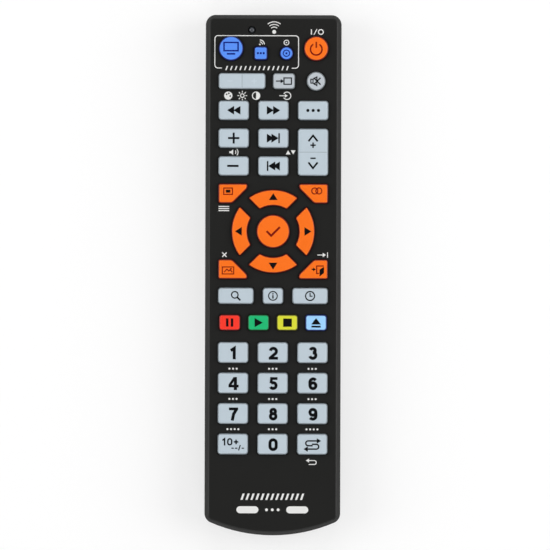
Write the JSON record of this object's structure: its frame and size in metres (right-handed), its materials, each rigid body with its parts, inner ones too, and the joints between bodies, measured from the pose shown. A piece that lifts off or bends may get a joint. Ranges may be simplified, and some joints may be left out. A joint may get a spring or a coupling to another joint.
{
  "type": "universal remote control",
  "caption": "Slim hand-held infra-red remote control with coloured silicone keys, a ring of direction keys, digit keys and a sliding battery cover on the back.",
  "frame": {"origin": "centre of the length and the width, on the plane that the back rests on", "axes": "+Y to the nose with the infra-red window, +X to the right seen from the keys, +Z out of the key face"},
  "size_m": [0.0564, 0.216, 0.0216],
  "materials": {
    "case": "fine satin grain, black",
    "key_white": "smooth coated silicone, cool white",
    "key_grey": "smooth coated silicone, light grey",
    "key_orange": "smooth coated silicone, orange",
    "key_blue": "smooth coated silicone, blue",
    "key_red": "smooth coated silicone, red",
    "key_green": "smooth coated silicone, green",
    "key_yellow": "smooth coated silicone, yellow",
    "key_sky": "smooth coated silicone, light blue",
    "mat": "matt silicone sheet",
    "board": "green solder mask",
    "chip": "matt black resin",
    "can": "drawn can",
    "capacitor": "bright can",
    "lens": "dark clear resin",
    "lamp": "red diffused resin",
    "window": "very dark red, polished",
    "cells": "plain printed sleeve",
    "screws": "zinc plated",
    "contact": "nickel plated"
  },
  "bodies": {
    "case": {"top_case": "case", "bottom_case": "case", "keypad_mat": "mat", "circuit_board": "board", "control_chip": "chip", "crystal": "can", "capacitor": "capacitor", "ir_emitter": "lens", "learning_sensor": "lens", "indicator_led": "lamp", "ir_window": "window", "aaa_cells": "cells", "case_screws": "screws", "bridge_contact": "contact", "positive_contact": "contact", "negative_contact": "contact"},
    "cover": {"battery_cover": "case"},
    "tv_key": {"tv_key": "key_blue"},
    "satellite_key": {"satellite_key": "key_blue"},
    "disc_key": {"disc_key": "key_blue"},
    "power_key": {"power_key": "key_orange"},
    "picture_rocker": {"picture_rocker": "key_white"},
    "source_key": {"source_key": "key_grey"},
    "mute_key": {"mute_key": "key_grey"},
    "rewind_key": {"rewind_key": "key_white"},
    "forward_key": {"forward_key": "key_white"},
    "mode_key": {"mode_key": "key_white"},
    "volume_up_key": {"volume_up_key": "key_white"},
    "volume_down_key": {"volume_down_key": "key_white"},
    "next_key": {"next_key": "key_white"},
    "previous_key": {"previous_key": "key_white"},
    "channel_rocker": {"channel_rocker": "key_white"},
    "menu_key": {"menu_key": "key_orange"},
    "audio_key": {"audio_key": "key_orange"},
    "image_key": {"image_key": "key_orange"},
    "exit_key": {"exit_key": "key_orange"},
    "up_key": {"up_key": "key_orange"},
    "left_key": {"left_key": "key_orange"},
    "down_key": {"down_key": "key_orange"},
    "right_key": {"right_key": "key_orange"},
    "centre_key": {"centre_key": "key_orange"},
    "zoom_key": {"zoom_key": "key_white"},
    "info_key": {"info_key": "key_white"},
    "timer_key": {"timer_key": "key_white"},
    "red_key": {"red_key": "key_red"},
    "green_key": {"green_key": "key_green"},
    "yellow_key": {"yellow_key": "key_yellow"},
    "blue_key": {"blue_key": "key_sky"},
    "one_key": {"one_key": "key_white"},
    "two_key": {"two_key": "key_white"},
    "three_key": {"three_key": "key_white"},
    "four_key": {"four_key": "key_white"},
    "five_key": {"five_key": "key_white"},
    "six_key": {"six_key": "key_white"},
    "seven_key": {"seven_key": "key_white"},
    "eight_key": {"eight_key": "key_white"},
    "nine_key": {"nine_key": "key_white"},
    "tens_key": {"tens_key": "key_white"},
    "zero_key": {"zero_key": "key_white"},
    "return_key": {"return_key": "key_white"}
  },
  "joints": [
    {"name": "tv_key_press", "type": "slide", "parent": "case", "child": "tv_key", "axis": [0, 0, 1], "range_m": [-0.001, 0], "stiffness_N_per_m": 1000},
    {"name": "satellite_key_press", "type": "slide", "parent": "case", "child": "satellite_key", "axis": [0, 0, 1], "range_m": [-0.001, 0], "stiffness_N_per_m": 1000},
    {"name": "disc_key_press", "type": "slide", "parent": "case", "child": "disc_key", "axis": [0, 0, 1], "range_m": [-0.001, 0], "stiffness_N_per_m": 1000},
    {"name": "power_key_press", "type": "slide", "parent": "case", "child": "power_key", "axis": [0, 0, 1], "range_m": [-0.001, 0], "stiffness_N_per_m": 1000},
    {"name": "picture_rocker_tilt", "type": "hinge", "parent": "case", "child": "picture_rocker", "pos_m": [-0.013, 0.0802, 0.019], "axis": [0, 1, 0], "range_deg": [-4, 4], "stiffness_Nm_per_rad": 0.12},
    {"name": "source_key_press", "type": "slide", "parent": "case", "child": "source_key", "axis": [0, 0, 1], "range_m": [-0.001, 0], "stiffness_N_per_m": 1000},
    {"name": "mute_key_press", "type": "slide", "parent": "case", "child": "mute_key", "axis": [0, 0, 1], "range_m": [-0.001, 0], "stiffness_N_per_m": 1000},
    {"name": "rewind_key_press", "type": "slide", "parent": "case", "child": "rewind_key", "axis": [0, 0, 1], "range_m": [-0.001, 0], "stiffness_N_per_m": 1000},
    {"name": "forward_key_press", "type": "slide", "parent": "case", "child": "forward_key", "axis": [0, 0, 1], "range_m": [-0.001, 0], "stiffness_N_per_m": 1000},
    {"name": "mode_key_press", "type": "slide", "parent": "case", "child": "mode_key", "axis": [0, 0, 1], "range_m": [-0.001, 0], "stiffness_N_per_m": 1000},
    {"name": "volume_up_key_press", "type": "slide", "parent": "case", "child": "volume_up_key", "axis": [0, 0, 1], "range_m": [-0.001, 0], "stiffness_N_per_m": 1000},
    {"name": "volume_down_key_press", "type": "slide", "parent": "case", "child": "volume_down_key", "axis": [0, 0, 1], "range_m": [-0.001, 0], "stiffness_N_per_m": 1000},
    {"name": "next_key_press", "type": "slide", "parent": "case", "child": "next_key", "axis": [0, 0, 1], "range_m": [-0.001, 0], "stiffness_N_per_m": 1000},
    {"name": "previous_key_press", "type": "slide", "parent": "case", "child": "previous_key", "axis": [0, 0, 1], "range_m": [-0.001, 0], "stiffness_N_per_m": 1000},
    {"name": "channel_rocker_tilt", "type": "hinge", "parent": "case", "child": "channel_rocker", "pos_m": [0.0164, 0.05085, 0.019], "axis": [1, 0, 0], "range_deg": [-4, 4], "stiffness_Nm_per_rad": 0.12},
    {"name": "menu_key_press", "type": "slide", "parent": "case", "child": "menu_key", "axis": [0, 0, 1], "range_m": [-0.001, 0], "stiffness_N_per_m": 1000},
    {"name": "audio_key_press", "type": "slide", "parent": "case", "child": "audio_key", "axis": [0, 0, 1], "range_m": [-0.001, 0], "stiffness_N_per_m": 1000},
    {"name": "image_key_press", "type": "slide", "parent": "case", "child": "image_key", "axis": [0, 0, 1], "range_m": [-0.001, 0], "stiffness_N_per_m": 1000},
    {"name": "exit_key_press", "type": "slide", "parent": "case", "child": "exit_key", "axis": [0, 0, 1], "range_m": [-0.001, 0], "stiffness_N_per_m": 1000},
    {"name": "up_key_press", "type": "slide", "parent": "case", "child": "up_key", "axis": [0, 0, 1], "range_m": [-0.001, 0], "stiffness_N_per_m": 1000},
    {"name": "left_key_press", "type": "slide", "parent": "case", "child": "left_key", "axis": [0, 0, 1], "range_m": [-0.001, 0], "stiffness_N_per_m": 1000},
    {"name": "down_key_press", "type": "slide", "parent": "case", "child": "down_key", "axis": [0, 0, 1], "range_m": [-0.001, 0], "stiffness_N_per_m": 1000},
    {"name": "right_key_press", "type": "slide", "parent": "case", "child": "right_key", "axis": [0, 0, 1], "range_m": [-0.001, 0], "stiffness_N_per_m": 1000},
    {"name": "centre_key_press", "type": "slide", "parent": "case", "child": "centre_key", "axis": [0, 0, 1], "range_m": [-0.001, 0], "stiffness_N_per_m": 1000},
    {"name": "zoom_key_press", "type": "slide", "parent": "case", "child": "zoom_key", "axis": [0, 0, 1], "range_m": [-0.001, 0], "stiffness_N_per_m": 1000},
    {"name": "info_key_press", "type": "slide", "parent": "case", "child": "info_key", "axis": [0, 0, 1], "range_m": [-0.001, 0], "stiffness_N_per_m": 1000},
    {"name": "timer_key_press", "type": "slide", "parent": "case", "child": "timer_key", "axis": [0, 0, 1], "range_m": [-0.001, 0], "stiffness_N_per_m": 1000},
    {"name": "red_key_press", "type": "slide", "parent": "case", "child": "red_key", "axis": [0, 0, 1], "range_m": [-0.001, 0], "stiffness_N_per_m": 1000},
    {"name": "green_key_press", "type": "slide", "parent": "case", "child": "green_key", "axis": [0, 0, 1], "range_m": [-0.001, 0], "stiffness_N_per_m": 1000},
    {"name": "yellow_key_press", "type": "slide", "parent": "case", "child": "yellow_key", "axis": [0, 0, 1], "range_m": [-0.001, 0], "stiffness_N_per_m": 1000},
    {"name": "blue_key_press", "type": "slide", "parent": "case", "child": "blue_key", "axis": [0, 0, 1], "range_m": [-0.001, 0], "stiffness_N_per_m": 1000},
    {"name": "one_key_press", "type": "slide", "parent": "case", "child": "one_key", "axis": [0, 0, 1], "range_m": [-0.001, 0], "stiffness_N_per_m": 1000},
    {"name": "two_key_press", "type": "slide", "parent": "case", "child": "two_key", "axis": [0, 0, 1], "range_m": [-0.001, 0], "stiffness_N_per_m": 1000},
    {"name": "three_key_press", "type": "slide", "parent": "case", "child": "three_key", "axis": [0, 0, 1], "range_m": [-0.001, 0], "stiffness_N_per_m": 1000},
    {"name": "four_key_press", "type": "slide", "parent": "case", "child": "four_key", "axis": [0, 0, 1], "range_m": [-0.001, 0], "stiffness_N_per_m": 1000},
    {"name": "five_key_press", "type": "slide", "parent": "case", "child": "five_key", "axis": [0, 0, 1], "range_m": [-0.001, 0], "stiffness_N_per_m": 1000},
    {"name": "six_key_press", "type": "slide", "parent": "case", "child": "six_key", "axis": [0, 0, 1], "range_m": [-0.001, 0], "stiffness_N_per_m": 1000},
    {"name": "seven_key_press", "type": "slide", "parent": "case", "child": "seven_key", "axis": [0, 0, 1], "range_m": [-0.001, 0], "stiffness_N_per_m": 1000},
    {"name": "eight_key_press", "type": "slide", "parent": "case", "child": "eight_key", "axis": [0, 0, 1], "range_m": [-0.001, 0], "stiffness_N_per_m": 1000},
    {"name": "nine_key_press", "type": "slide", "parent": "case", "child": "nine_key", "axis": [0, 0, 1], "range_m": [-0.001, 0], "stiffness_N_per_m": 1000},
    {"name": "tens_key_press", "type": "slide", "parent": "case", "child": "tens_key", "axis": [0, 0, 1], "range_m": [-0.001, 0], "stiffness_N_per_m": 1000},
    {"name": "zero_key_press", "type": "slide", "parent": "case", "child": "zero_key", "axis": [0, 0, 1], "range_m": [-0.001, 0], "stiffness_N_per_m": 1000},
    {"name": "return_key_press", "type": "slide", "parent": "case", "child": "return_key", "axis": [0, 0, 1], "range_m": [-0.001, 0], "stiffness_N_per_m": 1000},
    {"name": "cover_slide", "type": "slide", "parent": "case", "child": "cover", "axis": [0, -1, 0], "range_m": [0, 0.066]}
  ]
}
